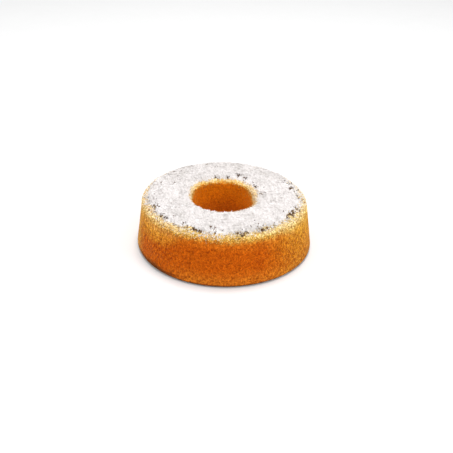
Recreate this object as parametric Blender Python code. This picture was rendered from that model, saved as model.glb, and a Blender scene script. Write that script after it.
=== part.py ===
"""A ring-shaped coconut cake, turned out of its tin and covered on top with finely grated coconut.

Metres, +Z up. The origin is the centre of the base, on the surface the cake stands on. The cake is
one baked body, so it is one solid: a tapered ring whose foot, shoulder and hole rim are rounded.
The grated coconut is fused on, as an uneven layer and as single shreds lying on that layer.
"""

import math
import random

import bmesh
import bpy
from mathutils import Matrix, Vector, noise
from mathutils.bvhtree import BVHTree

MM = 0.001

# Driving dimensions. The tin is widest at its mouth, so the turned-out cake is widest at its base.
BASE_RADIUS = 120 * MM
TOP_RADIUS = 110 * MM
CRUST_HEIGHT = 68.5 * MM
HOLE_TOP_RADIUS = 43 * MM
HOLE_BASE_RADIUS = 37 * MM

# The tin's tube stands this far off the middle, which moves the top less and less towards the wall.
HOLE_SHIFT = -2.5 * MM
HOLE_SHIFT_REACH = 95 * MM

# Roundings where the tin's walls and floor meet.
FOOT_ROUNDING = 4.5 * MM
SHOULDER_ROUNDING = 9.5 * MM
RIM_ROUNDING = 5 * MM
HOLE_FOOT_ROUNDING = 3 * MM

# Slow unevenness of a home-baked cake. The top is crowned and slopes down towards +X.
TOP_SLOPE = math.radians(0.65)
CROWN = 1.2 * MM

# Waves of the outline seen from above, as (waves round the cake, phase, depth). Together they make
# it widest at the front right.
OUTLINE_WAVES = ((2, math.radians(130), 0.5 * MM), (4, math.radians(170), 0.3 * MM))

# Relief of the baked crust: slow lumps all over, which fade out towards the flat base, and crags
# round the shoulder. The crags begin at one depth below the top and are full at the other.
SIDE_LUMP = 0.5 * MM
SIDE_LUMP_SIZE = 26 * MM
FLAT_FOOT_HEIGHT = 13.5 * MM
CRAG = 0.8 * MM
CRAG_SIZE = 5 * MM
CRAG_START_DEPTH = 21 * MM
CRAG_FULL_DEPTH = 6 * MM

# The grated coconut's layer, which thins out towards the shoulder and the hole.
COCONUT_DEPTH = 2.2 * MM
COCONUT_OUTER_RADIUS = 105 * MM
COCONUT_INNER_RADIUS = 44 * MM
COCONUT_OUTER_FADE = 6 * MM
COCONUT_INNER_FADE = 4 * MM
COCONUT_BUMP = 1.7 * MM
COCONUT_BUMP_SIZE = 4.6 * MM
COCONUT_BUMP_SHIFT = Vector((0, 0, 9))
COCONUT_DRIFT = 0.9 * MM
COCONUT_DRIFT_SIZE = 22 * MM

# Its shreds. The arch is a share of the length, and the tip a share of the width and thickness.
SHRED_COUNT = 170
SHRED_LENGTH = (4.5 * MM, 8 * MM)
SHRED_WIDTH = (1.2 * MM, 1.8 * MM)
SHRED_THICKNESS = 1.0 * MM
SHRED_TIP = 0.55
SHRED_ARCH = 0.025
SHRED_TILT = math.radians(9)
SHRED_LIFT = 0.2 * MM
SHRED_MARGIN = 3 * MM

# Faces of the solid. The rows and columns of the top are shifted by up to this share of a gap.
COLUMNS = 84
SIDE_ROWS = 5
HOLE_ROWS = 3
TOP_ROWS = 14
FOOT_STEPS = 2
SHOULDER_STEPS = 4
RIM_STEPS = 3
HOLE_FOOT_STEPS = 2
TOP_JITTER = 0.32
SHARP_ANGLE = math.radians(30)

# Colours, and where the coconut's one begins: how near the top, and how well covered.
CRUST_COLOUR = (0.56, 0.13, 0.014, 1)
CRUST_ROUGHNESS = 0.75
COCONUT_COLOUR = (0.88, 0.84, 0.78, 1)
COCONUT_ROUGHNESS = 0.6
COCONUT_PAINT_DEPTH = 4 * MM
COCONUT_PAINT_COVER = 0.3

GOLDEN_ANGLE = math.pi * (3 - math.sqrt(5))
SEED = 7


def clear_scene():
    """Start from an empty file."""
    for thing in list(bpy.data.objects):
        bpy.data.objects.remove(thing, do_unlink=True)


def smooth(low, high, value):
    """0 below low, 1 above high, and a smooth step between them."""
    share = min(1.0, max(0.0, (value - low) / (high - low)))
    return share * share * (3 - 2 * share)


def rounded_corner(before, corner, after, radius, steps):
    """The points of an arc that rounds a corner of the outline, from one side to the other."""
    to_before = (before - corner).normalized()
    to_after = (after - corner).normalized()
    half_angle = to_before.angle(to_after) / 2
    centre = corner + (to_before + to_after).normalized() * (radius / math.sin(half_angle))
    reach = radius / math.tan(half_angle)
    start = corner + to_before * reach - centre
    end = corner + to_after * reach - centre
    turn = start.angle_signed(end)
    return [centre + Matrix.Rotation(-turn * k / steps, 2) @ start for k in range(steps + 1)]


def straight(start, end, rows):
    """The points between two ends of a straight stretch, without the ends."""
    return [start.lerp(end, k / rows) for k in range(1, rows)]


def outline():
    """The half section as (radius, height), from the base's outer edge up, over and down the hole."""
    foot = Vector((BASE_RADIUS, 0))
    shoulder = Vector((TOP_RADIUS, CRUST_HEIGHT))
    rim = Vector((HOLE_TOP_RADIUS, CRUST_HEIGHT))
    hole_foot = Vector((HOLE_BASE_RADIUS, 0))
    foot_arc = rounded_corner(hole_foot, foot, shoulder, FOOT_ROUNDING, FOOT_STEPS)
    shoulder_arc = rounded_corner(foot, shoulder, rim, SHOULDER_ROUNDING, SHOULDER_STEPS)
    rim_arc = rounded_corner(shoulder, rim, hole_foot, RIM_ROUNDING, RIM_STEPS)
    hole_foot_arc = rounded_corner(rim, hole_foot, foot, HOLE_FOOT_ROUNDING, HOLE_FOOT_STEPS)
    return (
        foot_arc
        + straight(foot_arc[-1], shoulder_arc[0], SIDE_ROWS)
        + shoulder_arc
        + straight(shoulder_arc[-1], rim_arc[0], TOP_ROWS)
        + rim_arc
        + straight(rim_arc[-1], hole_foot_arc[0], HOLE_ROWS)
        + hole_foot_arc
    )


def uneven(radius, angle, height):
    """Where a point of the even ring lies on the real one.

    The real one is out of round, its top is crowned and slopes, and its hole is off the middle.
    """
    share = height / CRUST_HEIGHT
    middle = (TOP_RADIUS + HOLE_TOP_RADIUS) / 2
    half_width = (TOP_RADIUS - HOLE_TOP_RADIUS) / 2
    crown = CROWN * (1 - ((radius - middle) / half_width) ** 2)
    shift = HOLE_SHIFT * (1 - smooth(HOLE_TOP_RADIUS, HOLE_SHIFT_REACH, radius))
    radius += sum(depth * math.sin(waves * angle + phase) for waves, phase, depth in OUTLINE_WAVES)
    x = radius * math.cos(angle) + shift
    y = radius * math.sin(angle)
    return Vector((x, y, height + share * (crown - math.tan(TOP_SLOPE) * x)))


def coconut_cover(place):
    """How far the coconut layer covers the crust there: 0 at the shoulder and rim, 1 between them."""
    from_middle = math.hypot(place.x, place.y)
    from_hole_middle = math.hypot(place.x - HOLE_SHIFT, place.y)
    from_shoulder = smooth(0, COCONUT_OUTER_FADE, COCONUT_OUTER_RADIUS - from_middle)
    from_rim = smooth(0, COCONUT_INNER_FADE, from_hole_middle - COCONUT_INNER_RADIUS)
    return from_shoulder * from_rim


def coconut_height(place):
    """Depth of the coconut layer over a place on the top, with its drifts and its flake-sized bumps."""
    drift = COCONUT_DRIFT * noise.noise(place / COCONUT_DRIFT_SIZE)
    bump = COCONUT_BUMP * noise.noise(place / COCONUT_BUMP_SIZE + COCONUT_BUMP_SHIFT)
    return coconut_cover(place) * (COCONUT_DEPTH + drift + bump)


def crust_relief(place, outward):
    """Push of the baked crust at a place: slow lumps all over and crags round the shoulder."""
    lump = SIDE_LUMP * noise.noise(place / SIDE_LUMP_SIZE)
    near_top = smooth(CRUST_HEIGHT - CRAG_START_DEPTH, CRUST_HEIGHT - CRAG_FULL_DEPTH, place.z)
    crag = CRAG * near_top * noise.noise(place / CRAG_SIZE)
    rise = smooth(0, FLAT_FOOT_HEIGHT, place.z)
    return outward * (rise * (lump + crag))


def section_normal(section, row):
    """The outward direction of the outline at a row, as (radial, vertical)."""
    before = section[max(row - 1, 0)]
    after = section[min(row + 1, len(section) - 1)]
    along = (after - before).normalized()
    return Vector((along.y, -along.x))


def ring_body():
    """The closed mesh of the cake without its loose shreds."""
    section = outline()
    draw = random.Random(SEED)
    first_top_row = FOOT_STEPS + SIDE_ROWS + SHOULDER_STEPS + 1
    top_rows = range(first_top_row, first_top_row + TOP_ROWS - 1)
    row_gap = (section[top_rows[0]] - section[top_rows[1]]).length
    column_gap = math.tau / COLUMNS
    mesh = bmesh.new()
    rings = []
    for row, point in enumerate(section):
        side = section_normal(section, row)
        ring = []
        for column in range(COLUMNS):
            angle = column_gap * column
            radius = point.x
            if row in top_rows:
                radius += row_gap * TOP_JITTER * draw.uniform(-1, 1)
                angle += column_gap * TOP_JITTER * draw.uniform(-1, 1)
            place = uneven(radius, angle, point.y)
            outward = Vector((side.x * math.cos(angle), side.x * math.sin(angle), side.y))
            place += crust_relief(place, outward)
            if point.y > CRUST_HEIGHT - RIM_ROUNDING:
                place.z += coconut_height(place)
            ring.append(mesh.verts.new(place))
        rings.append(ring)
    for lower, upper in zip(rings, rings[1:] + rings[:1]):
        for column in range(COLUMNS):
            after = (column + 1) % COLUMNS
            mesh.faces.new((lower[column], lower[after], upper[after], upper[column]))
    bmesh.ops.recalc_face_normals(mesh, faces=mesh.faces)
    bmesh.ops.triangulate(mesh, faces=mesh.faces)
    return mesh


def shred_mesh(length, width, arch):
    """One shred of coconut: a thin arched strip of two halves, ridged on top and narrower at its tips."""
    mesh = bmesh.new()
    rings = []
    for along, share in ((-1, SHRED_TIP), (0, 1), (1, SHRED_TIP)):
        x = along * length / 2
        z = length * arch * (1 - along**2)
        half_width = share * width / 2
        half_thickness = share * SHRED_THICKNESS / 2
        corners = ((-half_width, -half_thickness), (half_width, -half_thickness), (0, half_thickness))
        rings.append([mesh.verts.new((x, y, z + rise)) for y, rise in corners])
    for left, right in zip(rings, rings[1:]):
        for k in range(len(left)):
            after = (k + 1) % len(left)
            mesh.faces.new((left[k], left[after], right[after], right[k]))
    mesh.faces.new(rings[0])
    mesh.faces.new(reversed(rings[-1]))
    bmesh.ops.recalc_face_normals(mesh, faces=mesh.faces)
    return mesh


def shred_places():
    """Even spots for the shreds over the top, on a sunflower spiral between hole and shoulder."""
    inner = COCONUT_INNER_RADIUS + SHRED_MARGIN
    outer = COCONUT_OUTER_RADIUS - SHRED_MARGIN
    for k in range(SHRED_COUNT):
        share = (k + 0.5) / SHRED_COUNT
        radius = math.sqrt(inner**2 + share * (outer**2 - inner**2))
        yield radius, k * GOLDEN_ANGLE


def scatter_shreds(collection, top):
    """Lay the shreds on the coconut layer, each turned, tilted and arched its own way."""
    draw = random.Random(SEED + 1)
    up = Vector((0, 0, 1))
    for number, (radius, angle) in enumerate(shred_places()):
        above = uneven(radius, angle, 2 * CRUST_HEIGHT)
        place, normal, *_ = top.ray_cast(above, -up)
        place += normal * SHRED_LIFT
        mesh = bpy.data.meshes.new(f"shred_{number:03d}")
        source = shred_mesh(
            draw.uniform(*SHRED_LENGTH), draw.uniform(*SHRED_WIDTH), draw.uniform(0, SHRED_ARCH)
        )
        source.to_mesh(mesh)
        source.free()
        shred = bpy.data.objects.new(mesh.name, mesh)
        shred.matrix_world = (
            Matrix.Translation(place)
            @ up.rotation_difference(normal).to_matrix().to_4x4()
            @ Matrix.Rotation(draw.uniform(0, math.tau), 4, "Z")
            @ Matrix.Rotation(draw.uniform(-1, 1) * SHRED_TILT, 4, "Y")
        )
        collection.objects.link(shred)


def fuse(body, collection):
    """Join everything in the collection to the body by one Boolean union, then remove it."""
    union = body.modifiers.new("fuse", "BOOLEAN")
    union.operation = "UNION"
    union.operand_type = "COLLECTION"
    union.collection = collection
    union.solver = "EXACT"
    bpy.context.view_layer.update()
    evaluated = body.evaluated_get(bpy.context.evaluated_depsgraph_get())
    fused = bpy.data.meshes.new_from_object(evaluated)
    body.modifiers.clear()
    body.data = fused
    for thing in list(collection.objects):
        bpy.data.objects.remove(thing, do_unlink=True)
    bpy.data.collections.remove(collection)


def keep_largest_body(thing):
    """Drop what the union leaves loose: scraps, and the walls of any pocket it seals."""
    mesh = bmesh.new()
    mesh.from_mesh(thing.data)
    left = set(mesh.verts)
    groups = []
    while left:
        group = {left.pop()}
        frontier = list(group)
        while frontier:
            vert = frontier.pop()
            for link in vert.link_edges:
                other = link.other_vert(vert)
                if other not in group:
                    group.add(other)
                    frontier.append(other)
        left -= group
        groups.append(group)
    groups.sort(key=len)
    loose = [vert for group in groups[:-1] for vert in group]
    bmesh.ops.delete(mesh, geom=loose, context="VERTS")
    mesh.to_mesh(thing.data)
    mesh.free()


def plain_material(name, colour, roughness):
    """A dull, even material."""
    material = bpy.data.materials.new(name)
    material.use_nodes = True
    shader = material.node_tree.nodes["Principled BSDF"]
    shader.inputs["Base Color"].default_value = colour
    shader.inputs["Roughness"].default_value = roughness
    shader.inputs["Metallic"].default_value = 0.0
    return material


def paint(thing):
    """Crust everywhere, and coconut on the faces of the top that its layer covers."""
    thing.data.materials.clear()
    thing.data.materials.append(plain_material("baked_crust", CRUST_COLOUR, CRUST_ROUGHNESS))
    thing.data.materials.append(plain_material("grated_coconut", COCONUT_COLOUR, COCONUT_ROUGHNESS))
    for face in thing.data.polygons:
        on_top = face.center.z > CRUST_HEIGHT - COCONUT_PAINT_DEPTH
        covered = coconut_cover(face.center) > COCONUT_PAINT_COVER
        face.material_index = 1 if on_top and covered else 0


def main():
    """Build the ring, lay the shreds on it, and fuse them into one solid."""
    clear_scene()
    source = ring_body()
    top = BVHTree.FromBMesh(source)
    data = bpy.data.meshes.new("ring_cake")
    source.to_mesh(data)
    source.free()
    cake = bpy.data.objects.new("ring_cake", data)
    bpy.context.scene.collection.objects.link(cake)
    shreds = bpy.data.collections.new("shreds")
    bpy.context.scene.collection.children.link(shreds)
    scatter_shreds(shreds, top)
    fuse(cake, shreds)
    keep_largest_body(cake)
    paint(cake)
    cake.data.shade_smooth()
    cake.data.set_sharp_from_angle(angle=SHARP_ANGLE)


main()
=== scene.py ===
"""Looks of a ring-shaped coconut cake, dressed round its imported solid.

Metres, +Z up, in the solid's own frame: the origin is the centre of the base and -Y is the front.
The baked sponge, the bed of grated coconut and each kind of loose piece on them are one mesh each.
"""

import math

import bmesh
import bpy
import numpy as np
from mathutils import Matrix, Vector, noise
from mathutils.bvhtree import BVHTree


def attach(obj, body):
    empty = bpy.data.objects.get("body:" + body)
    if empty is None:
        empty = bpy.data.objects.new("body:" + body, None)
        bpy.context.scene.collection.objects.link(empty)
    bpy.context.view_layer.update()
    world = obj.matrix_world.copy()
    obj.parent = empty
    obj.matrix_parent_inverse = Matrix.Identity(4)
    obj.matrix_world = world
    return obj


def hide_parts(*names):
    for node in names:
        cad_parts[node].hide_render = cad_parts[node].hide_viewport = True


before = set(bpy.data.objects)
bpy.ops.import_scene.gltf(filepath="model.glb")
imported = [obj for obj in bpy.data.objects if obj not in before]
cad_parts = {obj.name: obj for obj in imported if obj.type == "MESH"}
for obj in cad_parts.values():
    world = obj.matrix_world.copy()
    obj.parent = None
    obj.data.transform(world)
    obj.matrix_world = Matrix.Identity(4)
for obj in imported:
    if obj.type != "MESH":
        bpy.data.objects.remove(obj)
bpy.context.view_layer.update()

MM = 0.001


def mm(*lengths):
    """Lengths given in millimetres, in metres."""
    return tuple(length * MM for length in lengths)


BODY = "root"
SOLID = "ring_cake"
GOLDEN_ANGLE = math.pi * (3 - math.sqrt(5))
SEED = 11

# The cake's driving dimensions, as in its solid.
BASE_RADIUS = 120 * MM
TOP_RADIUS = 110 * MM
CRUST_HEIGHT = 68.5 * MM
HOLE_TOP_RADIUS = 43 * MM
HOLE_BASE_RADIUS = 37 * MM
HOLE_SHIFT = -2.5 * MM
HOLE_SHIFT_REACH = 95 * MM
FOOT_ROUNDING = 4.5 * MM
SHOULDER_ROUNDING = 9.5 * MM
RIM_ROUNDING = 5 * MM
HOLE_FOOT_ROUNDING = 3 * MM
TOP_SLOPE = math.radians(0.65)
CROWN = 1.2 * MM
OUTLINE_WAVES = ((2, math.radians(130), 0.5 * MM), (4, math.radians(170), 0.3 * MM))
SIDE_LUMP = 0.5 * MM
SIDE_LUMP_SIZE = 26 * MM
FLAT_FOOT_HEIGHT = 13.5 * MM
CRAG = 0.8 * MM
CRAG_SIZE = 5 * MM
CRAG_START_DEPTH = 21 * MM
CRAG_FULL_DEPTH = 6 * MM
COCONUT_DEPTH = 2.2 * MM
COCONUT_OUTER_RADIUS = 105 * MM
COCONUT_INNER_RADIUS = 44 * MM
COCONUT_OUTER_FADE = 6 * MM
COCONUT_INNER_FADE = 4 * MM
COCONUT_BUMP = 1.7 * MM
COCONUT_BUMP_SIZE = 4.6 * MM
COCONUT_DRIFT = 0.9 * MM
COCONUT_DRIFT_SIZE = 22 * MM

# From here on a pair of lengths or levels is mostly a span: where a thing starts, and where it is
# full. The first is the greater one where the thing grows the other way.

# The sponge's mesh and its fine relief: grain all over, pits in the crust and open crumb.
WALL_COLUMNS = 750
HOLE_COLUMNS = WALL_COLUMNS // 3
ROW_GAP = 0.95 * MM
HIDDEN_GAP = 3 * MM
STITCH_RADIUS = 86 * MM
BASE_ROWS = 4
GRAIN = 0.26 * MM
GRAIN_SIZE = 2.2 * MM
PIT_DEPTH = 0.5 * MM
PIT_SPACING = 4.4 * MM
PIT_EDGE = (0.42, 0.12)
CRUMB_RELIEF = 0.9 * MM
CRUMB_SPACING = 3.0 * MM
CRUMB_EDGE = (0, 0.45)
CRUMB_MIDDLE = 0.6
HOLE_CALM = 0.6
HOLE_CALM_RADII = mm(50, 45)
HOLE_CALM_HEIGHTS = mm(64, 58)
LEVEL_OF_FLAT = 0.5
LEVEL_OF_GRAIN = 0.3
LEVEL_OF_CRUMB = 0.5

# Where the crust is rubbed off to open crumb, with waves of (depth, size, shift) along its edge.
RUB_WAVES = ((3 * MM, 7 * MM, (5, 0, 0)), (2 * MM, 2.5 * MM, (0, 5, 0)))
SHOULDER_RUB_HEIGHTS = mm(54, 62)
SHOULDER_RUB_RADII = mm(90, 97)
RIM_RUB_HEIGHTS = mm(60, 65)
RIM_RUB_RADII = mm(56, 50)

# The coconut bed's mesh.
BED_COLUMNS = 760
BED_GAP = 0.85 * MM
BED_START = COCONUT_INNER_RADIUS + 1 * MM
BED_GRAIN = 0.5 * MM
BED_GRAIN_SIZE = 1.9 * MM
BED_SINK = 4 * MM
BED_MARGIN = 2.5 * MM
BED_TUCK = 0.9 * MM
BED_TINT = 0.3
BED_TINT_SIZE = 2 * MM

# How far out the coconut reaches: further at the sides and back, and in a bulge in front. The spans
# named START and DEPTH run along Y, and the bulge's LEFT and RIGHT along X.
BED_FRONT_RADIUS = 104 * MM
EDGE_REACH = 5 * MM
LEFT_REACH_START = mm(-42, -26)
RIGHT_REACH_START = mm(-50, 5)
FRONT_BULGE = 3 * MM
FRONT_BULGE_LEFT = mm(-62, -44)
FRONT_BULGE_RIGHT = mm(6, -10)
FRONT_BULGE_DEPTH = mm(-60, -80)
EDGE_WANDER = 3 * MM
EDGE_WANDER_SIZE = 14 * MM
EDGE_FRAY = 3 * MM
EDGE_FRAY_SIZE = 4 * MM

# How wide a strip of the hole's rim stays bare of coconut: its width in front changes along X.
FRONT_RIM_BARE = 3.8 * MM
FRONT_RIM_SLANT = 0.04
FRONT_RIM_START = mm(-5, -30)
BACK_RIM_BARE = 4.2 * MM
BACK_RIM_START = mm(5, 30)
RIGHT_RIM_BARE = 2.5 * MM
RIGHT_RIM_START = mm(20, 40)
RIM_FRINGE = 1.5 * MM
BACK_RIM_FRINGE = 3 * MM
RIM_FRAY = 0.7

# Gaps in the coconut where the browned top shows: scattered specks, thicker in a ring inside the
# shoulder and in the thin places, and wide open at the bare spots. Thin places and bare spots are
# each given as (degrees round the cake, radius, size), with the last two in millimetres.
GAP_SINK = 0.5 * MM
GAP_SIZE = 2.1 * MM
GAP_EDGE = 0.14
GAP_RARITY = 0.40
THIN_OPENING = 0.50
RING_OPENING = 0.20
BARE_OPENING = 0.9
SPOT_FADE = (1.3, 0.3)
GAP_RING_INSIDE = mm(86, 97)
GAP_RING_OUTSIDE = mm(109, 104)
GAP_RING_BACK = mm(90, 20)
THIN_PLACES = (
    (-157, 97, 8), (-116, 100, 9), (-98, 93, 8), (-78, 105, 8), (-60, 100, 10), (-29, 99, 11),
    (0, 101, 8), (12, 96, 8), (24, 96, 8), (107, 100, 7), (138, 91, 7), (160, 77, 6),
    (100, 52, 8), (66, 58, 10), (40, 55, 8), (24, 51, 7), (4, 54, 6),
)
BARE_SPOTS = (
    (-158, 97, 2.5), (-142, 100, 2.5), (-137, 99, 2.5), (-121, 95, 3.5), (-118, 99, 3),
    (-113, 98, 3.5), (-110, 101, 3.5), (-107, 101, 4), (-101, 88, 2), (-96, 102, 2),
    (-80, 101, 3), (-78, 106, 2.5), (-74, 102, 3), (-61, 80, 3), (-61, 101, 3),
    (-54, 96, 2.2), (-51, 101, 2.2), (-36, 99, 2.2), (-31, 98, 2.5), (-27, 101, 2.5),
    (-24, 98, 3), (-20, 101, 2.5), (-18, 97, 2.5), (9, 96, 2.5), (16, 95, 3.5),
    (73, 63, 4.5), (61, 60, 3.5), (85, 53, 2.5), (105, 54, 2.5), (34, 51, 2.5),
)

# The coconut's strips: where they end, how they clear the gaps, how far they lie level, their shape.
FAR_EDGE = mm(111, 103)
NEAR_EDGE = mm(106, 98)
GAP_CLEARING = 0.96
GAP_CLEARING_EDGE = (0.4, 0.9)
SPOT_SHAKE = 1.5 * MM
LEVELLING = 0.7
ROLL_SHARE = 1.5
STRIP_BEND = (-0.1, 0.28)
STRIP_JITTER = 0.2
STRIP_START = 0.28
STRIP_END = 0.22
RAY_HEIGHT = 200 * MM

# How likely a dark fleck lies anywhere, and how much each of these places adds to that.
FLECKS_ANYWHERE = 0.0013
FLECKS_IN_RING = 0.02
FLECKS_IN_THIN_PLACES = 0.11
FLECKS_IN_BARE_SPOTS = 0.9

# Crumbs and dust on the shoulder and the hole's rim.
CRUMB_TOP = 1.5 * MM
RIM_FALL = 5.5 * MM
FALL_SHAPE = (1.2, 3.0)
RIM_LIMIT = 52 * MM
RIM_SHARE = 0.15
CRUMB_STRETCH = (0.7, 1.3)
CRUMB_SINK = 0.08
CRUMB_JITTER = 0.35


def smooth(low, high, value):
    """0 at low, 1 at high, and a smooth step between them."""
    share = np.clip((value - low) / (high - low), 0, 1)
    return share * share * (3 - 2 * share)


def lumps(places, size, shift=(0, 0, 0)):
    """Smooth noise between -1 and 1 at each place, with lumps of the given size.

    Another shift gives another part of the noise.
    """
    shifted = places / size + np.array(shift)
    return np.array([noise.noise(place) for place in shifted.tolist()])


def cells(places, size, shift=(0, 0, 0)):
    """How far each place is from the nearest and the second nearest of points strewn that far apart."""
    shifted = places / size + np.array(shift)
    near = [noise.voronoi(place)[0][:2] for place in shifted.tolist()]
    return np.array(near).T


def rounded_corner(before, corner, after, radius, gap):
    """The points of an arc that rounds a corner of the outline, about a gap apart."""
    to_before = (before - corner).normalized()
    to_after = (after - corner).normalized()
    half_angle = to_before.angle(to_after) / 2
    centre = corner + (to_before + to_after).normalized() * (radius / math.sin(half_angle))
    reach = radius / math.tan(half_angle)
    start = corner + to_before * reach - centre
    end = corner + to_after * reach - centre
    turn = start.angle_signed(end)
    steps = math.ceil(abs(turn) * radius / gap)
    return [centre + Matrix.Rotation(-turn * k / steps, 2) @ start for k in range(steps + 1)]


def straight(start, end, gap):
    """The points between two ends of a straight stretch, about a gap apart, without the ends."""
    rows = math.ceil((end - start).length / gap)
    return [start.lerp(end, k / rows) for k in range(1, rows)]


def outline():
    """The half section as (radius, height), from the base's outer edge up, over and down the hole.

    Returns the points that carry the wall's columns and those that carry the hole's.
    """
    foot = Vector((BASE_RADIUS, 0))
    shoulder = Vector((TOP_RADIUS, CRUST_HEIGHT))
    rim = Vector((HOLE_TOP_RADIUS, CRUST_HEIGHT))
    hole_foot = Vector((HOLE_BASE_RADIUS, 0))
    stitch = Vector((STITCH_RADIUS, CRUST_HEIGHT))
    foot_arc = rounded_corner(hole_foot, foot, shoulder, FOOT_ROUNDING, ROW_GAP)
    shoulder_arc = rounded_corner(foot, shoulder, rim, SHOULDER_ROUNDING, ROW_GAP)
    rim_arc = rounded_corner(shoulder, rim, hole_foot, RIM_ROUNDING, ROW_GAP)
    hole_foot_arc = rounded_corner(rim, hole_foot, foot, HOLE_FOOT_ROUNDING, ROW_GAP)
    wall = foot_arc + straight(foot_arc[-1], shoulder_arc[0], ROW_GAP) + shoulder_arc
    wall += straight(shoulder_arc[-1], stitch, ROW_GAP) + [stitch]
    hole = straight(stitch, rim_arc[0], HIDDEN_GAP) + rim_arc
    hole += straight(rim_arc[-1], hole_foot_arc[0], ROW_GAP) + hole_foot_arc
    base_gap = (foot_arc[0].x - hole_foot_arc[-1].x) / BASE_ROWS
    hole += straight(hole_foot_arc[-1], foot_arc[0], base_gap)
    return wall, hole


def hole_drift(radius):
    """How far the off-centre hole moves the top along X at a radius: less and less outwards."""
    return HOLE_SHIFT * (1 - smooth(HOLE_TOP_RADIUS, HOLE_SHIFT_REACH, radius))


def uneven(radius, angle, height):
    """Where points of the even ring lie on the real one.

    The real one is out of round, its top is crowned and slopes, and its hole is off the middle.
    """
    share = height / CRUST_HEIGHT
    middle = (TOP_RADIUS + HOLE_TOP_RADIUS) / 2
    half_width = (TOP_RADIUS - HOLE_TOP_RADIUS) / 2
    crown = CROWN * (1 - ((radius - middle) / half_width) ** 2)
    waves = sum(depth * np.sin(count * angle + phase) for count, phase, depth in OUTLINE_WAVES)
    x = (radius + waves) * np.cos(angle) + hole_drift(radius)
    y = (radius + waves) * np.sin(angle)
    return np.stack((x, y, height + share * (crown - math.tan(TOP_SLOPE) * x)), axis=-1)


def from_middle(places):
    """How far places are from the cake's axis."""
    return np.hypot(places[:, 0], places[:, 1])


def from_hole_middle(places):
    """How far places are from the hole's axis."""
    return np.hypot(places[:, 0] - HOLE_SHIFT, places[:, 1])


def coconut_height(places):
    """Depth of the coconut over places on the top, with its drifts and its flake-sized bumps."""
    from_shoulder = smooth(0, COCONUT_OUTER_FADE, COCONUT_OUTER_RADIUS - from_middle(places))
    from_rim = smooth(0, COCONUT_INNER_FADE, from_hole_middle(places) - COCONUT_INNER_RADIUS)
    drift = COCONUT_DRIFT * lumps(places, COCONUT_DRIFT_SIZE)
    bump = COCONUT_BUMP * lumps(places, COCONUT_BUMP_SIZE, (0, 0, 9))
    return from_shoulder * from_rim * (COCONUT_DEPTH + drift + bump)


def crust_relief(places):
    """Push of the baked crust at each place: slow lumps all over and crags round the shoulder."""
    height = places[:, 2]
    near_top = smooth(CRUST_HEIGHT - CRAG_START_DEPTH, CRUST_HEIGHT - CRAG_FULL_DEPTH, height)
    rise = smooth(0, FLAT_FOOT_HEIGHT, height)
    lump = SIDE_LUMP * lumps(places, SIDE_LUMP_SIZE)
    crag = CRAG * near_top * lumps(places, CRAG_SIZE)
    return rise * (lump + crag)


def crumbly(places):
    """Where the crust is rubbed off to open crumb: 1 on the shoulder and the hole's rim, 0 elsewhere."""
    height = places[:, 2] + sum(depth * lumps(places, size, shift) for depth, size, shift in RUB_WAVES)
    shoulder = smooth(*SHOULDER_RUB_HEIGHTS, height) * smooth(*SHOULDER_RUB_RADII, from_middle(places))
    rim = smooth(*RIM_RUB_HEIGHTS, height) * smooth(*RIM_RUB_RADII, from_hole_middle(places))
    return np.maximum(shoulder, rim)


def fine_relief(places):
    """The push of the sponge's grain, pits and open crumb at each place, calmer inside the hole.

    Returns it with how far up that relief each place is, from 0 to 1, and how open its crumb is.
    """
    open_crumb = crumbly(places)
    from_pit, _ = cells(places, PIT_SPACING)
    pit = (1 - open_crumb) * smooth(*PIT_EDGE, from_pit)
    nearest, second = cells(places, CRUMB_SPACING, (3, 1, 4))
    crumb = open_crumb * (smooth(*CRUMB_EDGE, second - nearest) - CRUMB_MIDDLE)
    grain = lumps(places, GRAIN_SIZE, (0, 0, 5))
    push = GRAIN * grain - PIT_DEPTH * pit + CRUMB_RELIEF * crumb
    height = places[:, 2]
    in_hole = smooth(*HOLE_CALM_RADII, from_hole_middle(places)) * smooth(*HOLE_CALM_HEIGHTS, height)
    push *= smooth(0, FOOT_ROUNDING, height) * (1 - HOLE_CALM * in_hole)
    level = LEVEL_OF_FLAT + LEVEL_OF_GRAIN * grain + LEVEL_OF_CRUMB * (crumb - pit)
    return push, np.clip(level, 0, 1), open_crumb


def section_normals(section):
    """The outward direction of the closed outline at each of its points, as (radial, vertical)."""
    points = np.array([tuple(point) for point in section])
    along = np.roll(points, -1, axis=0) - np.roll(points, 1, axis=0)
    along /= np.linalg.norm(along, axis=1)[:, None]
    return np.stack((along[:, 1], -along[:, 0]), axis=1)


def stitch_faces(start_a, count_a, start_b, count_b):
    """Faces between two rings of points, where one may have three times as many as the other."""
    if count_a < count_b:
        return [face[::-1] for face in stitch_faces(start_b, count_b, start_a, count_a)]
    faces = []
    for k in range(count_b):
        left, right = start_b + k, start_b + (k + 1) % count_b
        if count_a == count_b:
            faces.append((start_a + k, start_a + (k + 1) % count_a, right, left))
        else:
            fine = [start_a + (3 * k + step) % count_a for step in range(4)]
            faces += [(fine[0], fine[1], left), (fine[1], fine[2], right, left), (fine[2], fine[3], right)]
    return faces


def new_object(name, places, faces, values):
    """A mesh object from points and faces, with named values at its points."""
    mesh = bpy.data.meshes.new(name)
    mesh.from_pydata(places.tolist(), [], faces)
    for key, value in values.items():
        mesh.attributes.new(key, "FLOAT", "POINT").data.foreach_set("value", value.astype(np.float32))
    mesh.update()
    piece = bpy.data.objects.new(name, mesh)
    bpy.context.scene.collection.objects.link(piece)
    return piece


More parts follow.
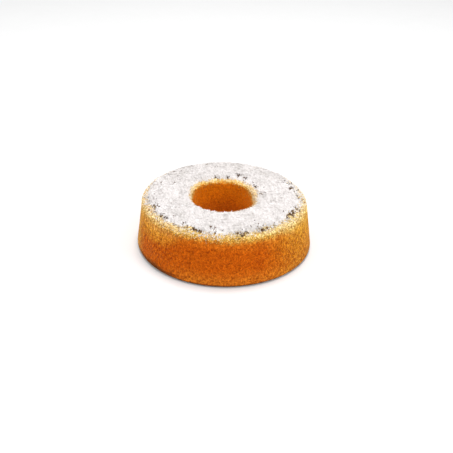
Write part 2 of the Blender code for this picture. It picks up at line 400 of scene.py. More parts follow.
def build_sponge():
    """The baked ring, one closed mesh with finer columns round the outside than round the hole."""
    wall, hole = outline()
    section = wall + hole
    sides = section_normals(section)
    counts = [WALL_COLUMNS] * len(wall) + [HOLE_COLUMNS] * len(hole)
    angles = [np.arange(count) * math.tau / count for count in counts]
    even = np.concatenate([uneven(point.x, angle, point.y) for point, angle in zip(section, angles)])
    outward = np.concatenate([
        np.stack((side[0] * np.cos(angle), side[0] * np.sin(angle), np.full(len(angle), side[1])), axis=1)
        for side, angle in zip(sides, angles)
    ])
    rough = even + outward * crust_relief(even)[:, None]
    push, level, open_crumb = fine_relief(rough)
    places = rough + outward * push[:, None]
    starts = np.concatenate(([0], np.cumsum(counts)[:-1])).tolist()
    rings = list(zip(starts, counts))
    faces = []
    for (start_a, count_a), (start_b, count_b) in zip(rings, rings[1:] + rings[:1]):
        faces += stitch_faces(start_a, count_a, start_b, count_b)
    sponge = new_object("sponge_ring", places, faces, {"level": level, "open_crumb": open_crumb})
    sponge.data.shade_smooth()
    return sponge


def edge_wobble(places):
    """How far the coconut's edges wander and fray outwards at each place."""
    wander = EDGE_WANDER * lumps(places, EDGE_WANDER_SIZE, (4, 4, 0))
    fray = EDGE_FRAY * lumps(places, EDGE_FRAY_SIZE, (0, 6, 3))
    return wander + fray


def edge_reach(places):
    """How much further out than in front the coconut reaches at each place."""
    x, y = places[:, 0], places[:, 1]
    left = smooth(*LEFT_REACH_START, y)
    right = smooth(*RIGHT_REACH_START, y)
    bulge = smooth(*FRONT_BULGE_LEFT, x) * smooth(*FRONT_BULGE_RIGHT, x) * smooth(*FRONT_BULGE_DEPTH, y)
    return EDGE_REACH * np.where(x < 0, left, right) + FRONT_BULGE * bulge


def rim_bare(places):
    """How much further from the hole than on its left the coconut starts at each place of the rim."""
    x, y = places[:, 0], places[:, 1]
    front = (FRONT_RIM_BARE + FRONT_RIM_SLANT * x) * smooth(*FRONT_RIM_START, y)
    back = BACK_RIM_BARE * smooth(*BACK_RIM_START, y)
    right = RIGHT_RIM_BARE * smooth(*RIGHT_RIM_START, x)
    return np.maximum(np.maximum(front, back), right)


def bed_cover(places):
    """How far the bed of fine coconut covers the crust there, from 0 to 1, with ragged edges."""
    wobble = edge_wobble(places)
    from_shoulder = BED_FRONT_RADIUS + edge_reach(places) - from_middle(places) + wobble
    from_rim = from_hole_middle(places) - BED_START - rim_bare(places) + wobble
    return smooth(0, COCONUT_OUTER_FADE, from_shoulder) * smooth(0, COCONUT_INNER_FADE, from_rim)


def near_any(places, spots):
    """How near each place is to the middle of one of the spots, from 0 to 1."""
    nearest = np.zeros(len(places))
    for degrees, radius, size in spots:
        turn = math.radians(degrees)
        middle = radius * MM * np.array((math.cos(turn), math.sin(turn)))
        away = np.linalg.norm(places[:, :2] - middle, axis=1)
        nearest = np.maximum(nearest, smooth(*SPOT_FADE, away / (size * MM)))
    return nearest


def gap_ring(places):
    """How far each place is in the ring of gaps inside the shoulder, from 0 to 1: less at the back."""
    radius = from_middle(places)
    ring = smooth(*GAP_RING_INSIDE, radius) * smooth(*GAP_RING_OUTSIDE, radius)
    return ring * smooth(*GAP_RING_BACK, places[:, 1])


def gaps(places):
    """Where the coconut has gaps down to the browned top, from 0 to 1."""
    openness = lumps(places, GAP_SIZE, (8, 0, 0)) - GAP_RARITY
    openness += THIN_OPENING * near_any(places, THIN_PLACES) + RING_OPENING * gap_ring(places)
    openness += BARE_OPENING * near_any(places, BARE_SPOTS)
    return smooth(0, GAP_EDGE, openness)


def build_bed(sponge_top):
    """The bed of fine coconut on top: a closed skin whose underside is sunk in the sponge."""
    outer = COCONUT_OUTER_RADIUS + BED_MARGIN
    rows = math.ceil((outer - BED_START) / BED_GAP)
    radii = np.repeat(BED_START + (outer - BED_START) * np.arange(rows + 1) / rows, BED_COLUMNS)
    angles = np.tile(np.arange(BED_COLUMNS) * math.tau / BED_COLUMNS, rows + 1)
    crust, _ = land(sponge_top, radii * np.cos(angles) + hole_drift(radii), radii * np.sin(angles))
    cover = bed_cover(crust)
    grain = BED_GRAIN * lumps(crust, BED_GRAIN_SIZE, (1, 1, 1))
    depth = (coconut_height(crust) + grain) * cover - (1 - cover) * BED_TUCK
    gap = gaps(crust)
    depth = depth * (1 - gap) - GAP_SINK * gap
    up = np.array((0, 0, 1))
    top = crust + depth[:, None] * up
    under = crust - BED_SINK * up
    edge_rows = [rows, rows // 2, 0]
    bottom = np.concatenate([under[k * BED_COLUMNS:(k + 1) * BED_COLUMNS] for k in edge_rows])
    ring_count = rows + 1 + len(edge_rows)
    faces = []
    for k in range(ring_count):
        after = (k + 1) % ring_count
        faces += stitch_faces(after * BED_COLUMNS, BED_COLUMNS, k * BED_COLUMNS, BED_COLUMNS)
    tint = BED_TINT * (1 + lumps(crust, BED_TINT_SIZE, (7, 7, 0)))
    tints = np.concatenate((tint, np.zeros(len(bottom))))
    bed = new_object("coconut_bed", np.concatenate((top, bottom)), faces, {"tint": tints})
    bed.data.shade_smooth()
    return bed


def strip_template(sections):
    """Points and faces of a unit strip along X with a diamond section, narrower at both ends."""
    half_widths = [STRIP_START] + [0.5] * (sections - 2) + [STRIP_END]
    points = []
    for along, width in zip(np.linspace(-0.5, 0.5, sections), half_widths):
        points += [(along, -width, 0), (along, 0, -width), (along, width, 0), (along, 0, width)]
    faces = [(3, 2, 1, 0)]
    for k in range(sections - 1):
        for corner in range(4):
            after = (corner + 1) % 4
            first, second = 4 * k, 4 * (k + 1)
            faces.append((first + corner, first + after, second + after, second + corner))
    last = 4 * (sections - 1)
    faces.append((last, last + 1, last + 2, last + 3))
    return np.array(points, float), faces


def nugget_template():
    """Points and faces of a unit nugget: an icosahedron."""
    ball = bmesh.new()
    bmesh.ops.create_icosphere(ball, subdivisions=1, radius=0.5)
    points = np.array([tuple(vert.co) for vert in ball.verts])
    faces = [tuple(vert.index for vert in face.verts) for face in ball.faces]
    ball.free()
    return points, faces


def turned(yaw, pitch, roll, normals):
    """Rotation matrices that roll and pitch each piece, turn it, and stand it on its normal."""
    matrices = np.empty((len(yaw), 3, 3))
    for k, normal in enumerate(normals):
        stand = Vector((0, 0, 1)).rotation_difference(Vector(normal)).to_matrix()
        tip = Matrix.Rotation(pitch[k], 3, "Y") @ Matrix.Rotation(roll[k], 3, "X")
        matrices[k] = np.array(stand @ Matrix.Rotation(yaw[k], 3, "Z") @ tip)
    return matrices


def joined(name, template, sizes, bends, matrices, places, jitter, draw):
    """One mesh of many copies of a template, each scaled, bent, roughened, turned and placed."""
    points, faces = template
    count = len(places)
    shaped = points[None] * sizes[:, None]
    along = points[None, :, 0]
    shaped[:, :, 2] += bends[:, None] * sizes[:, :1] * (0.25 - along**2)
    shaped += jitter * sizes[:, None] * draw.uniform(-0.5, 0.5, shaped.shape)
    world = np.einsum("nij,nkj->nki", matrices, shaped) + places[:, None]
    starts = range(0, count * len(points), len(points))
    all_faces = [tuple(start + corner for corner in face) for start in starts for face in faces]
    tint = np.repeat(draw.uniform(0, 1, count), len(points))
    return new_object(name, world.reshape(-1, 3), all_faces, {"tint": tint})


def ring_spots(count, draw):
    """Spots scattered evenly over the top, on a sunflower spiral with each spot shaken."""
    share = (np.arange(count) + 0.5) / count
    radius = np.sqrt(BED_START**2 + share * (TOP_RADIUS**2 - BED_START**2))
    angle = np.arange(count) * GOLDEN_ANGLE
    x = radius * np.cos(angle) + hole_drift(radius) + SPOT_SHAKE * draw.uniform(-1, 1, count)
    y = radius * np.sin(angle) + SPOT_SHAKE * draw.uniform(-1, 1, count)
    return x, y


def land(surface, x, y):
    """Where vertical lines meet the surface from above, with its normals there."""
    hits = [surface.ray_cast(Vector((a, b, RAY_HEIGHT)), Vector((0, 0, -1))) for a, b in zip(x, y)]
    hits = [hit for hit in hits if hit[0] is not None]
    places = np.array([tuple(hit[0]) for hit in hits])
    normals = np.array([tuple(hit[1]) for hit in hits])
    return places, normals


def coconut_chance(places, edge_share):
    """How likely a piece of coconut stays at each place: rarer near the shoulder and over the gaps.

    The edge share is the share of such pieces that reach the outermost edge.
    """
    wobble = edge_wobble(places)
    radius = from_middle(places) - wobble - edge_reach(places)
    outwards = edge_share * smooth(*FAR_EDGE, radius) + (1 - edge_share) * smooth(*NEAR_EDGE, radius)
    from_rim = from_hole_middle(places) - COCONUT_INNER_RADIUS - rim_bare(places) + RIM_FRAY * wobble
    fringe = RIM_FRINGE + BACK_RIM_FRINGE * smooth(*BACK_RIM_START, places[:, 1])
    clear = 1 - GAP_CLEARING * smooth(*GAP_CLEARING_EDGE, gaps(places))
    return outwards * clear * smooth(0, 1, from_rim / fringe)


def fleck_chance(places):
    """How likely a dark fleck lies at each place: mostly on the bare spots and in the thin places."""
    scattered = FLECKS_ANYWHERE + FLECKS_IN_RING * gap_ring(places)
    thin = FLECKS_IN_THIN_PLACES * near_any(places, THIN_PLACES)
    return scattered + thin + FLECKS_IN_BARE_SPOTS * near_any(places, BARE_SPOTS)


def scatter_strips(name, surface, chance, count, length, width, thickness, tilt, lift, sections, seed):
    """Lay bent strips on the surface, each of its own size, turn and tilt, where the chance keeps them."""
    draw = np.random.default_rng(SEED + seed)
    x, y = ring_spots(count, draw)
    places, normals = land(surface, x, y)
    kept = draw.uniform(0, 1, len(places)) < chance(places)
    places, normals = places[kept], normals[kept]
    count = len(places)
    sizes = np.stack([draw.uniform(*span, count) for span in (length, width, thickness)], axis=1)
    level = normals + (0, 0, LEVELLING)
    level /= np.linalg.norm(level, axis=1)[:, None]
    yaw = draw.uniform(0, math.tau, count)
    pitch = draw.normal(0, tilt, count)
    roll = draw.normal(0, ROLL_SHARE * tilt, count)
    matrices = turned(yaw, pitch, roll, level)
    places = places + level * draw.uniform(*lift, count)[:, None]
    bends = draw.uniform(*STRIP_BEND, count)
    return joined(name, strip_template(sections), sizes, bends, matrices, places, STRIP_JITTER, draw)


def land_sideways(surface, angle, on_rim, down):
    """Where level lines meet the shoulder from outside, or the hole's rim from inside the hole."""
    places, normals = [], []
    for turn, inside, depth in zip(angle, on_rim, down):
        around = Vector((math.cos(turn), math.sin(turn), 0))
        start = around * 2 * BASE_RADIUS
        way = -around
        if inside:
            start = around * HOLE_BASE_RADIUS / 2 + Vector((HOLE_SHIFT, 0, 0))
            way = around
        start.z = CRUST_HEIGHT + CRUMB_TOP - depth
        place, normal, *_ = surface.ray_cast(start, way)
        if place is not None and (place.xy.length < RIM_LIMIT) == bool(inside):
            places.append(tuple(place))
            normals.append(tuple(normal))
    return np.array(places), np.array(normals)


def scatter_crumbs(name, surface, count, sizes, fall, seed):
    """Nuggets on the shoulder and the hole's rim, thinning out as far down the wall as they fall."""
    draw = np.random.default_rng(SEED + seed)
    angle = draw.uniform(0, math.tau, count)
    on_rim = draw.uniform(0, 1, count) < RIM_SHARE
    down = draw.beta(*FALL_SHAPE, count) * np.where(on_rim, RIM_FALL, fall)
    places, normals = land_sideways(surface, angle, on_rim, down)
    count = len(places)
    scales = draw.uniform(*sizes, count)[:, None] * draw.uniform(*CRUMB_STRETCH, (count, 3))
    yaw, pitch, roll = [draw.uniform(0, widest, count) for widest in (math.tau, 1, 1)]
    matrices = turned(yaw, pitch, roll, normals)
    places = places - CRUMB_SINK * scales[:, 2:] * normals
    bends = np.zeros(count)
    crumbs = joined(name, nugget_template(), scales, bends, matrices, places, CRUMB_JITTER, draw)
    crumbs.data.shade_smooth()
    return crumbs


class Sketch:
    """A material's node tree, with short calls for the nodes that the finishes share."""

    def __init__(self, name):
        self.material = bpy.data.materials.new(name)
        self.material.use_nodes = True
        self.tree = self.material.node_tree
        self.shader = self.tree.nodes["Principled BSDF"]
        self.place = self.node("TexCoord", {})["Object"]
        self.x, self.y, self.z = self.node("SeparateXYZ", {0: self.place})

    def set(self, node, socket, value):
        """Set a socket to a number or colour, or link another node's output to it."""
        if isinstance(value, bpy.types.NodeSocket):
            self.tree.links.new(value, node.inputs[socket])
        else:
            node.inputs[socket].default_value = value

    def node(self, kind, inputs, **settings):
        """The outputs of a new node with the given inputs and settings."""
        node = self.tree.nodes.new("ShaderNode" + kind)
        for name, value in settings.items():
            setattr(node, name, value)
        for socket, value in inputs.items():
            self.set(node, socket, value)
        return node.outputs

    def grain(self, size, detail=2.0, roughness=0.5, stretch=None):
        """Noise from 0 to 1 with lumps of the given size."""
        place = self.place
        if stretch is not None:
            place = self.node("Mapping", {"Vector": place, "Scale": stretch})["Vector"]
        inputs = {"Vector": place, "Scale": 1 / size, "Detail": detail, "Roughness": roughness}
        return self.node("TexNoise", inputs)["Fac"]

    def spots(self, size):
        """Distance from scattered points that lie about the given size apart."""
        return self.node("TexVoronoi", {"Vector": self.place, "Scale": 1 / size})["Distance"]

    def value(self, name):
        """A value that the mesh carries at its points."""
        return self.node("Attribute", {}, attribute_name=name)["Fac"]

    def math(self, operation, first, second=0.0):
        """One sum of two numbers."""
        return self.node("Math", {0: first, 1: second}, operation=operation)[0]

    def plus(self, first, second):
        """Two numbers added."""
        return self.math("ADD", first, second)

    def minus(self, first, second):
        """The first number less the second."""
        return self.math("SUBTRACT", first, second)

    def times(self, first, second):
        """Two numbers multiplied."""
        return self.math("MULTIPLY", first, second)

    def greater(self, first, second):
        """The greater of two numbers."""
        return self.math("MAXIMUM", first, second)

    def sway(self, value, reach):
        """A value from 0 to 1 made to sway by half the reach either way of 0."""
        return self.times(self.minus(value, 0.5), reach)

    def from_axis(self, shift=0.0):
        """How far the place is from an upright axis that stands shifted along X."""
        x = self.minus(self.x, shift)
        return self.math("SQRT", self.plus(self.times(x, x), self.times(self.y, self.y)))

    def band(self, value, low, high, start=0.0, end=1.0):
        """A smooth step of the value, from start at low to end at high."""
        inputs = {"Value": value, "From Min": low, "From Max": high, "To Min": start, "To Max": end}
        return self.node("MapRange", inputs, interpolation_type="SMOOTHSTEP")["Result"]

    def mix(self, share, low, high):
        """A colour between two colours."""
        return self.node("Mix", {0: share, 6: low, 7: high}, data_type="RGBA")[2]

    def scale(self, colour, factor):
        """A colour made lighter or darker."""
        return self.node("VectorMath", {"Vector": colour, "Scale": factor}, operation="SCALE")["Vector"]

    def tinted(self, colour, factors):
        """A colour multiplied channel by channel."""
        return self.node("VectorMath", {0: colour, 1: factors}, operation="MULTIPLY")["Vector"]

    def stain(self, share, colour, factors):
        """A colour multiplied channel by channel, as far as the share says."""
        return self.mix(share, colour, self.tinted(colour, factors))

    def tone(self, colour, share, darker, lighter):
        """A colour multiplied channel by channel by factors between darker and lighter ones."""
        factors = self.node("Mix", {0: share, 4: darker, 5: lighter}, data_type="VECTOR")[1]
        return self.tinted(colour, factors)

    def ramp(self, value, stops):
        """A colour that changes through the stops, each a value and a colour, as the value grows."""
        low, high = stops[0][0], stops[-1][0]
        node = self.tree.nodes.new("ShaderNodeValToRGB")
        elements = node.color_ramp.elements
        while len(elements) < len(stops):
            elements.new(0.5)
        for element, (place, colour) in zip(elements, stops):
            element.position = (place - low) / (high - low)
            element.color = colour
        share = self.node("MapRange", {"Value": value, "From Min": low, "From Max": high})["Result"]
        self.set(node, "Fac", share)
        return node.outputs["Color"]

    def bump(self, height, distance, strength):
        """Fine relief on the shader's normal."""
        inputs = {"Height": height, "Distance": distance, "Strength": strength}
        self.set(self.shader, "Normal", self.node("Bump", inputs)["Normal"])

    def finish(self, colour, roughness, specular):
        """Give the shader its colour and gloss."""
        self.set(self.shader, "Base Color", colour)
        self.set(self.shader, "Roughness", roughness)
        self.set(self.shader, "Specular IOR Level", specular)
        return self.material


# Colours, and factors that multiply a colour's channels.
DEEP_CRUST = (0.565, 0.105, 0.003, 1)
ORANGE_CRUST = (0.68, 0.165, 0.009, 1)
GOLDEN_CRUST = (0.72, 0.25, 0.024, 1)
YELLOW_CRUST = (0.78, 0.435, 0.075, 1)
CREAM_CRUST = (0.86, 0.60, 0.20, 1)
PALE_CRUST = (0.84, 0.66, 0.36, 1)
HOLE_CRUST = (0.73, 0.192, 0.004, 1)
# Painted shade deep in the hole.
SHADED_DEEP_HOLE = (0.62, 0.155, 0.006, 1)
CREVICE_SHADE = (0.36, 0.19, 0.045, 1)
BROWN_TOP = (0.10, 0.045, 0.018, 1)
RIM_BROWN_AND_SHADE = (0.30, 0.11, 0.02, 1)
BURNT_AND_SHADED_FOOT = (0.115, 0.028, 0.006, 1)
SHEEN = (1.0, 0.78, 0.28, 1)
COCONUT_WHITE = (0.90, 0.865, 0.855, 1)
COCONUT_SHADE = (0.66, 0.625, 0.60, 1)
COCONUT_CREAM = (0.86, 0.70, 0.40, 1)
FLECK_DARK = (0.035, 0.016, 0.012, 1)
FLECK_PALE = (0.20, 0.12, 0.07, 1)
FLOOR_GREY = (0.80, 0.80, 0.80, 1)
FLOOR_PALE = (0.82, 0.82, 0.82, 1)
LIGHTER = (1.16, 1.32, 1.35)
DARKER = (0.74, 0.58, 0.45)
PIT_BROWN = (0.60, 0.48, 0.38)
PORE_SHADE = (0.64, 0.50, 0.40)
LEFT_WARMTH = (1.08, 0.95, 1.14)
FINE_TONES = ((0.77, 0.70, 0.60), (1.26, 1.34, 1.44))
RELIEF_SHADING_TONES = ((0.77, 0.70, 0.62), (1.17, 1.20, 1.24))

# Heights at which the crust changes colour, lowest first: on the outer wall, on its sunny sides and
# in the hole.
WALL_BANDS = (
    (47 * MM, DEEP_CRUST),
    (56 * MM, ORANGE_CRUST),
    (59 * MM, GOLDEN_CRUST),
    (62.5 * MM, YELLOW_CRUST),
    (65.5 * MM, CREAM_CRUST),
    (67.5 * MM, PALE_CRUST),
)
SUNNY_BANDS = (
    (20 * MM, (0.61, 0.210, 0.012, 1)),
    (40 * MM, (0.67, 0.275, 0.018, 1)),
    (52 * MM, (0.72, 0.345, 0.032, 1)),
    (60 * MM, (0.81, 0.500, 0.120, 1)),
    (67 * MM, (0.92, 0.725, 0.380, 1)),
)
HOLE_BANDS = (
    # The hole's lowest band is painted shade deep down.
    (22 * MM, SHADED_DEEP_HOLE),
    (34 * MM, HOLE_CRUST),
    (54 * MM, HOLE_CRUST),
    (59 * MM, GOLDEN_CRUST),
    (62 * MM, YELLOW_CRUST),
    (64.5 * MM, CREAM_CRUST),
    (66.5 * MM, (0.88, 0.71, 0.45, 1)),
)

# The crust's noises as (size, detail, roughness, stretch), and how far they sway its colours.
PATCHES = (26 * MM, 3.0)
MOTTLE = (4.5 * MM, 3.0, 0.6)
CRUMB = (2.8 * MM, 4.0, 0.7)
FINE = (1.4 * MM, 3.0, 0.7)
STREAKS = (1.7 * MM, 2.0, 0.6, (0.9, 0.6, 0.36))
SPIKES = (1.6 * MM, 2.0, 0.6, (1, 1, 0.2))
GOLD_EDGE = (9 * MM, 3.0, 0.6)
RIM_EDGE = (4.5 * MM, 3.0, 0.6)
BROWN_PATCHES = (7 * MM, 2.0)
PORE_SPACING = 1.9 * MM
PATCH_SWAY = 12 * MM
MOTTLE_SWAY = 11 * MM
SPIKE_SWAY = 26 * MM
GOLD_EDGE_SWAY = 36 * MM
RIM_EDGE_SWAY = 6 * MM
RIM_HEIGHT_SWAY = 4 * MM
FOOT_SWAY = 5 * MM
SIDE_FOOT_SWAY = 8 * MM

# The coconut's noises, each with how far it sways the shade.
COCONUT_NOISES = (
    ((2.4 * MM, 2.0, 0.5, (1, 0.5, 1)), 0.6),
    ((5 * MM, 1.0), 0.7),
    ((16 * MM, 1.0), 1.0),
)

# The tuples from here to FLECK_MOTTLE are smooth steps: from one place or value to another, and
# then what the step gives at the two, if that isn't 0 and 1.

# The wall's colours along X: the front's middle, where orange reaches higher, and the golden sides.
# The left's gold stays above a line that slants up to the right.
FRONT_MIDDLE_LEFT = mm(-88, -62)
FRONT_MIDDLE_RIGHT = mm(12, -8)
FRONT_MIDDLE_LIFT = 3 * MM
RIGHT_GOLD = (*mm(42, 114), 0, 0.9)
LEFT_GOLD = (*mm(-42, -86), 0, 0.80)
LEFT_GOLD_SLANT = 0.26
LEFT_GOLD_CORNER = 100 * MM
LEFT_GOLD_RISE = mm(29, 43)
LEFT_GOLD_FALL = (*mm(62, 54), 0.35, 1.0)
# The far left's gold: golden crust, with painted light along the left side's edge.
FAR_LEFT_GOLD_AND_LIGHT = mm(-40, -96)
FAR_LEFT_START = (*mm(-56, -20), 0, 0.9)
GOLDEN_FOOT = (*mm(26, 6), 0, 0.42)
GOLDEN_FOOT_LEFT = mm(-80, -40)

# The shoulder's pale colours reach further down at the sides and the back.
BACK_DIP = mm(-40, 20, 0, 5)
BACK_DIP_HEIGHTS = mm(50, 60)
BACK_DIP_RADII = mm(80, 95)

# The hole's colours: its orange reaches higher at the back, its pale rim is wider at both sides, and
# a ragged line along the front of the rim is dark, browned crust darkened further with painted shade.
HOLE_RADII = mm(70, 60)
HOLE_BACK = mm(5, 35)
HOLE_BACK_LIFT = mm(70, 63, 3.6, 12)
HOLE_RIGHT_DIP = mm(10, 30, 0, 6)
HOLE_LEFT_DIP = mm(-25, -42, 0, 2)
BROWN_RIM_RADII = mm(49, 46.5)
BROWN_RIM_HEIGHTS = mm(65, 67.5)
BROWN_RIM_FRONT = (*mm(-8, -28), 0, 0.9)

# How rough the crust's colour is: rougher at both sides and the foot, calmer in the hole.
ROUGH_LEFT = mm(-45, -100)
ROUGH_LEFT_HEIGHTS = mm(6, 34)
ROUGH_RIGHT = (*mm(20, 100), 0, 0.65)
ROUGH_FOOT = (*mm(24, 4), 0, 0.6)
ROUGH_ANYWHERE = 0.25
STREAKS_ANYWHERE = 0.34
CALM_HOLE = (*mm(60, 70), 0.5, 1.0)

# Which parts of the noises and of the relief make flecks, pits, pores, streaks and shades.
# The pores, the relief's low parts and the crevices get painted shade, the relief's high parts painted
# light.
PALE_FLECKS = (0.50, 0.68, 0, 0.6)
BROWN_PITS = (0.47, 0.36)
PORES = (0.32, 0.14)
PORES_IN_CRUMB = (0.62, 0.42)
PALE_STREAKS = (0.47, 0.62)
DARK_STREAKS = (0.53, 0.38)
FINE_SHADES = (0.32, 0.68)
MOTTLE_SHADES = (0.3, 0.7, 0.90, 1.10)
RELIEF_SHADING_STEP = (0.1, 0.8)
CREVICES = (0.42, 0.12, 0, 0.6)

# The browned top under the coconut: all over, but only in patches near the shoulder.
BROWNED_PATCHES = (0.60, 0.44)
BROWNED_ALL_OVER = mm(98, 94)
BROWNED_OUTSIDE = mm(105, 100)
BROWNED_INSIDE = mm(51, 54)
BROWNED_HEIGHTS = mm(62, 66)

# The foot's dark line, burnt crust with painted contact shadow: a thin line all round, and more of it on
# the left's front and on the right.
FOOT_LINE = (*mm(5, 1.5), 0, 0.95)
RIGHT_FOOT_HEIGHTS = mm(22, 4)
RIGHT_FOOT = (*mm(60, 105), 0, 0.2)
LEFT_FOOT_HEIGHTS = mm(11, 4)
LEFT_FOOT = (*mm(-45, -78), 0, 0.95)
LEFT_FOOT_FRONT = mm(-25, -50)

# The crust's sheen and its fine relief.
SHEEN_WEIGHT = (*mm(-104, -116), 0.4, 0.9)
PORE_RELIEF = (0.34, 0.1, 0, 0.7)
STREAK_RELIEF = 0.3

# The coconut's and the crumbs' shades, where the coconut looks thinner at its edge and creamier, and the
# painted shade that greys it towards the back.
COCONUT_TINT = 0.35
COCONUT_SHADES = (0.38, -0.48)
SHADED_BACK = (*mm(20, 90), 0, 0.2)
THINNER_EDGE = (*mm(92, 104), 0, 0.1)
CREAM_HEIGHTS = (*mm(68, 63.5), 0, 0.75)
CRUMB_TINT_MIDDLE = 0.3
CRUMB_TINT_SWAY = 6 * MM
CRUMB_RIM_LIFT = mm(60, 50, 0, 5)
CRUMB_SHADES = (0, 1, 0.80, 1.20)
CRUMB_MOTTLE = (0.3, 0.7, 0.85, 1.15)
FLECK_MOTTLE = (0.3, 0.7, 0.7, 1.3)


def pale_dip(s):
    """How much further down the shoulder's pale colours reach at the sides and the back."""
    heights = s.band(s.z, *BACK_DIP_HEIGHTS)
    on_shoulder = s.times(heights, s.band(s.from_axis(), *BACK_DIP_RADII))
    return s.times(s.band(s.y, *BACK_DIP), on_shoulder)


def left_gold(s, level):
    """How golden the left of the wall is: above a slanting line, and less so on the shoulder."""
    line = s.times(s.plus(s.x, LEFT_GOLD_CORNER), LEFT_GOLD_SLANT)
    above_line = s.band(s.minus(level, line), *LEFT_GOLD_RISE)
    below_shoulder = s.band(level, *LEFT_GOLD_FALL)
    return s.times(s.band(s.x, *LEFT_GOLD), s.times(above_line, below_shoulder))


def outside_colour(s, level):
    """The wall's colour at a level: deep orange in front and behind, sunnier at both sides, with painted
    light over the far left's gold.
    """
    left = left_gold(s, level)
    ragged_y = s.plus(s.y, s.sway(s.grain(*GOLD_EDGE), GOLD_EDGE_SWAY))
    # Golden crust with painted light on the far left.
    far_left_gold_and_light = s.times(s.band(ragged_y, *FAR_LEFT_START), s.band(s.x, *FAR_LEFT_GOLD_AND_LIGHT))
    side = s.greater(s.plus(s.band(s.x, *RIGHT_GOLD), left), far_left_gold_and_light)
    colour = s.mix(side, s.ramp(level, WALL_BANDS), s.ramp(level, SUNNY_BANDS))
    return s.stain(left, colour, LEFT_WARMTH)


def wall_colour(s, level):
    """The outer wall's colour, orange further up in the front's middle and more golden at its foot."""
    middle = s.times(s.band(s.x, *FRONT_MIDDLE_LEFT), s.band(s.x, *FRONT_MIDDLE_RIGHT))
    colour = outside_colour(s, s.minus(level, s.times(middle, FRONT_MIDDLE_LIFT)))
    foot = s.times(s.band(level, *GOLDEN_FOOT), s.band(s.x, *GOLDEN_FOOT_LEFT))
    return s.mix(foot, colour, GOLDEN_CRUST)


def hole_colour(s, level):
    """The hole's colour at a level, its bands torn into upright spikes."""
    lift = s.times(s.band(s.y, *HOLE_BACK), s.band(s.z, *HOLE_BACK_LIFT))
    dip = s.plus(s.band(s.x, *HOLE_RIGHT_DIP), s.band(s.x, *HOLE_LEFT_DIP))
    torn = s.plus(level, s.sway(s.grain(*SPIKES), SPIKE_SWAY))
    return s.ramp(s.plus(s.minus(torn, lift), dip), HOLE_BANDS)


def front_rim(s):
    """Where the hole's rim is dark, from 0 to 1: a ragged line along its front, browned crust with painted
    shade.
    """
    edge = s.grain(*RIM_EDGE)
    from_hole = s.plus(s.from_axis(HOLE_SHIFT), s.sway(edge, RIM_EDGE_SWAY))
    height = s.plus(s.z, s.sway(edge, RIM_HEIGHT_SWAY))
    line = s.times(s.band(from_hole, *BROWN_RIM_RADII), s.band(height, *BROWN_RIM_HEIGHTS))
    return s.times(line, s.band(s.y, *BROWN_RIM_FRONT))


def rough_sides(s, level):
    """How rough the crust's colour is at both sides, from 0 to 1."""
    left = s.times(s.band(s.x, *ROUGH_LEFT), s.band(level, *ROUGH_LEFT_HEIGHTS))
    return s.greater(left, s.band(s.x, *ROUGH_RIGHT))


def pitted(s, colour, crumb, pores, roughness):
    """The colour with pale flecks, brown pits, and painted shade in the pores."""
    flecks = s.times(s.band(crumb, *PALE_FLECKS), roughness)
    pits = s.times(s.band(crumb, *BROWN_PITS), roughness)
    # Painted shade inside the pores.
    shaded_pores = s.times(s.band(pores, *PORES), s.band(crumb, *PORES_IN_CRUMB))
    colour = s.stain(flecks, colour, LIGHTER)
    colour = s.stain(pits, colour, PIT_BROWN)
    return s.stain(shaded_pores, colour, PORE_SHADE)


def streaked(s, colour, streaks, share):
    """The colour with lighter and darker upright streaks, as strong as the share says."""
    colour = s.stain(s.times(s.band(streaks, *PALE_STREAKS), share), colour, LIGHTER)
    return s.stain(s.times(s.band(streaks, *DARK_STREAKS), share), colour, DARKER)


def grained(s, colour, fine, mottle):
    """The colour with its fine shades: browner in the low parts of the noises, with painted shade in the
    low parts of the relief and painted light on its high parts.
    """
    colour = s.tone(colour, s.band(fine, *FINE_SHADES), *FINE_TONES)
    colour = s.scale(colour, s.band(mottle, *MOTTLE_SHADES))
    # Painted shade in the relief's low parts, painted light on its high parts.
    return s.tone(colour, s.band(s.value("level"), *RELIEF_SHADING_STEP), *RELIEF_SHADING_TONES)


def browned_and_shaded(s, colour):
    """The colour with painted shade in the open crumb's crevices, the browned top, and the rim's dark
    front of browned crust with painted shade.
    """
    # Painted shade in the crevices of the open crumb.
    crevice_shade = s.times(s.band(s.value("level"), *CREVICES), s.value("open_crumb"))
    colour = s.mix(crevice_shade, colour, CREVICE_SHADE)
    radius = s.from_axis()
    patches = s.band(s.grain(*BROWN_PATCHES), *BROWNED_PATCHES)
    ring = s.times(s.band(radius, *BROWNED_OUTSIDE), s.band(s.from_axis(HOLE_SHIFT), *BROWNED_INSIDE))
    on_top = s.times(ring, s.band(s.z, *BROWNED_HEIGHTS))
    share = s.times(s.greater(patches, s.band(radius, *BROWNED_ALL_OVER)), on_top)
    colour = s.mix(share, colour, BROWN_TOP)
    # The rim's dark front: browned crust with painted shade.
    return s.mix(front_rim(s), colour, RIM_BROWN_AND_SHADE)


def burnt_and_shaded_foot(s, mottle, patches):
    """How dark the crust's foot is, from 0 to 1, with a ragged upper edge: burnt crust with painted
    contact shadow.
    """
    height = s.plus(s.z, s.sway(mottle, FOOT_SWAY))
    side_height = s.plus(height, s.sway(patches, SIDE_FOOT_SWAY))
    right = s.times(s.band(side_height, *RIGHT_FOOT_HEIGHTS), s.band(s.x, *RIGHT_FOOT))
    left = s.times(s.band(side_height, *LEFT_FOOT_HEIGHTS), s.band(s.x, *LEFT_FOOT))
    left = s.times(left, s.band(s.y, *LEFT_FOOT_FRONT))
    return s.greater(s.band(height, *FOOT_LINE), s.plus(left, right))


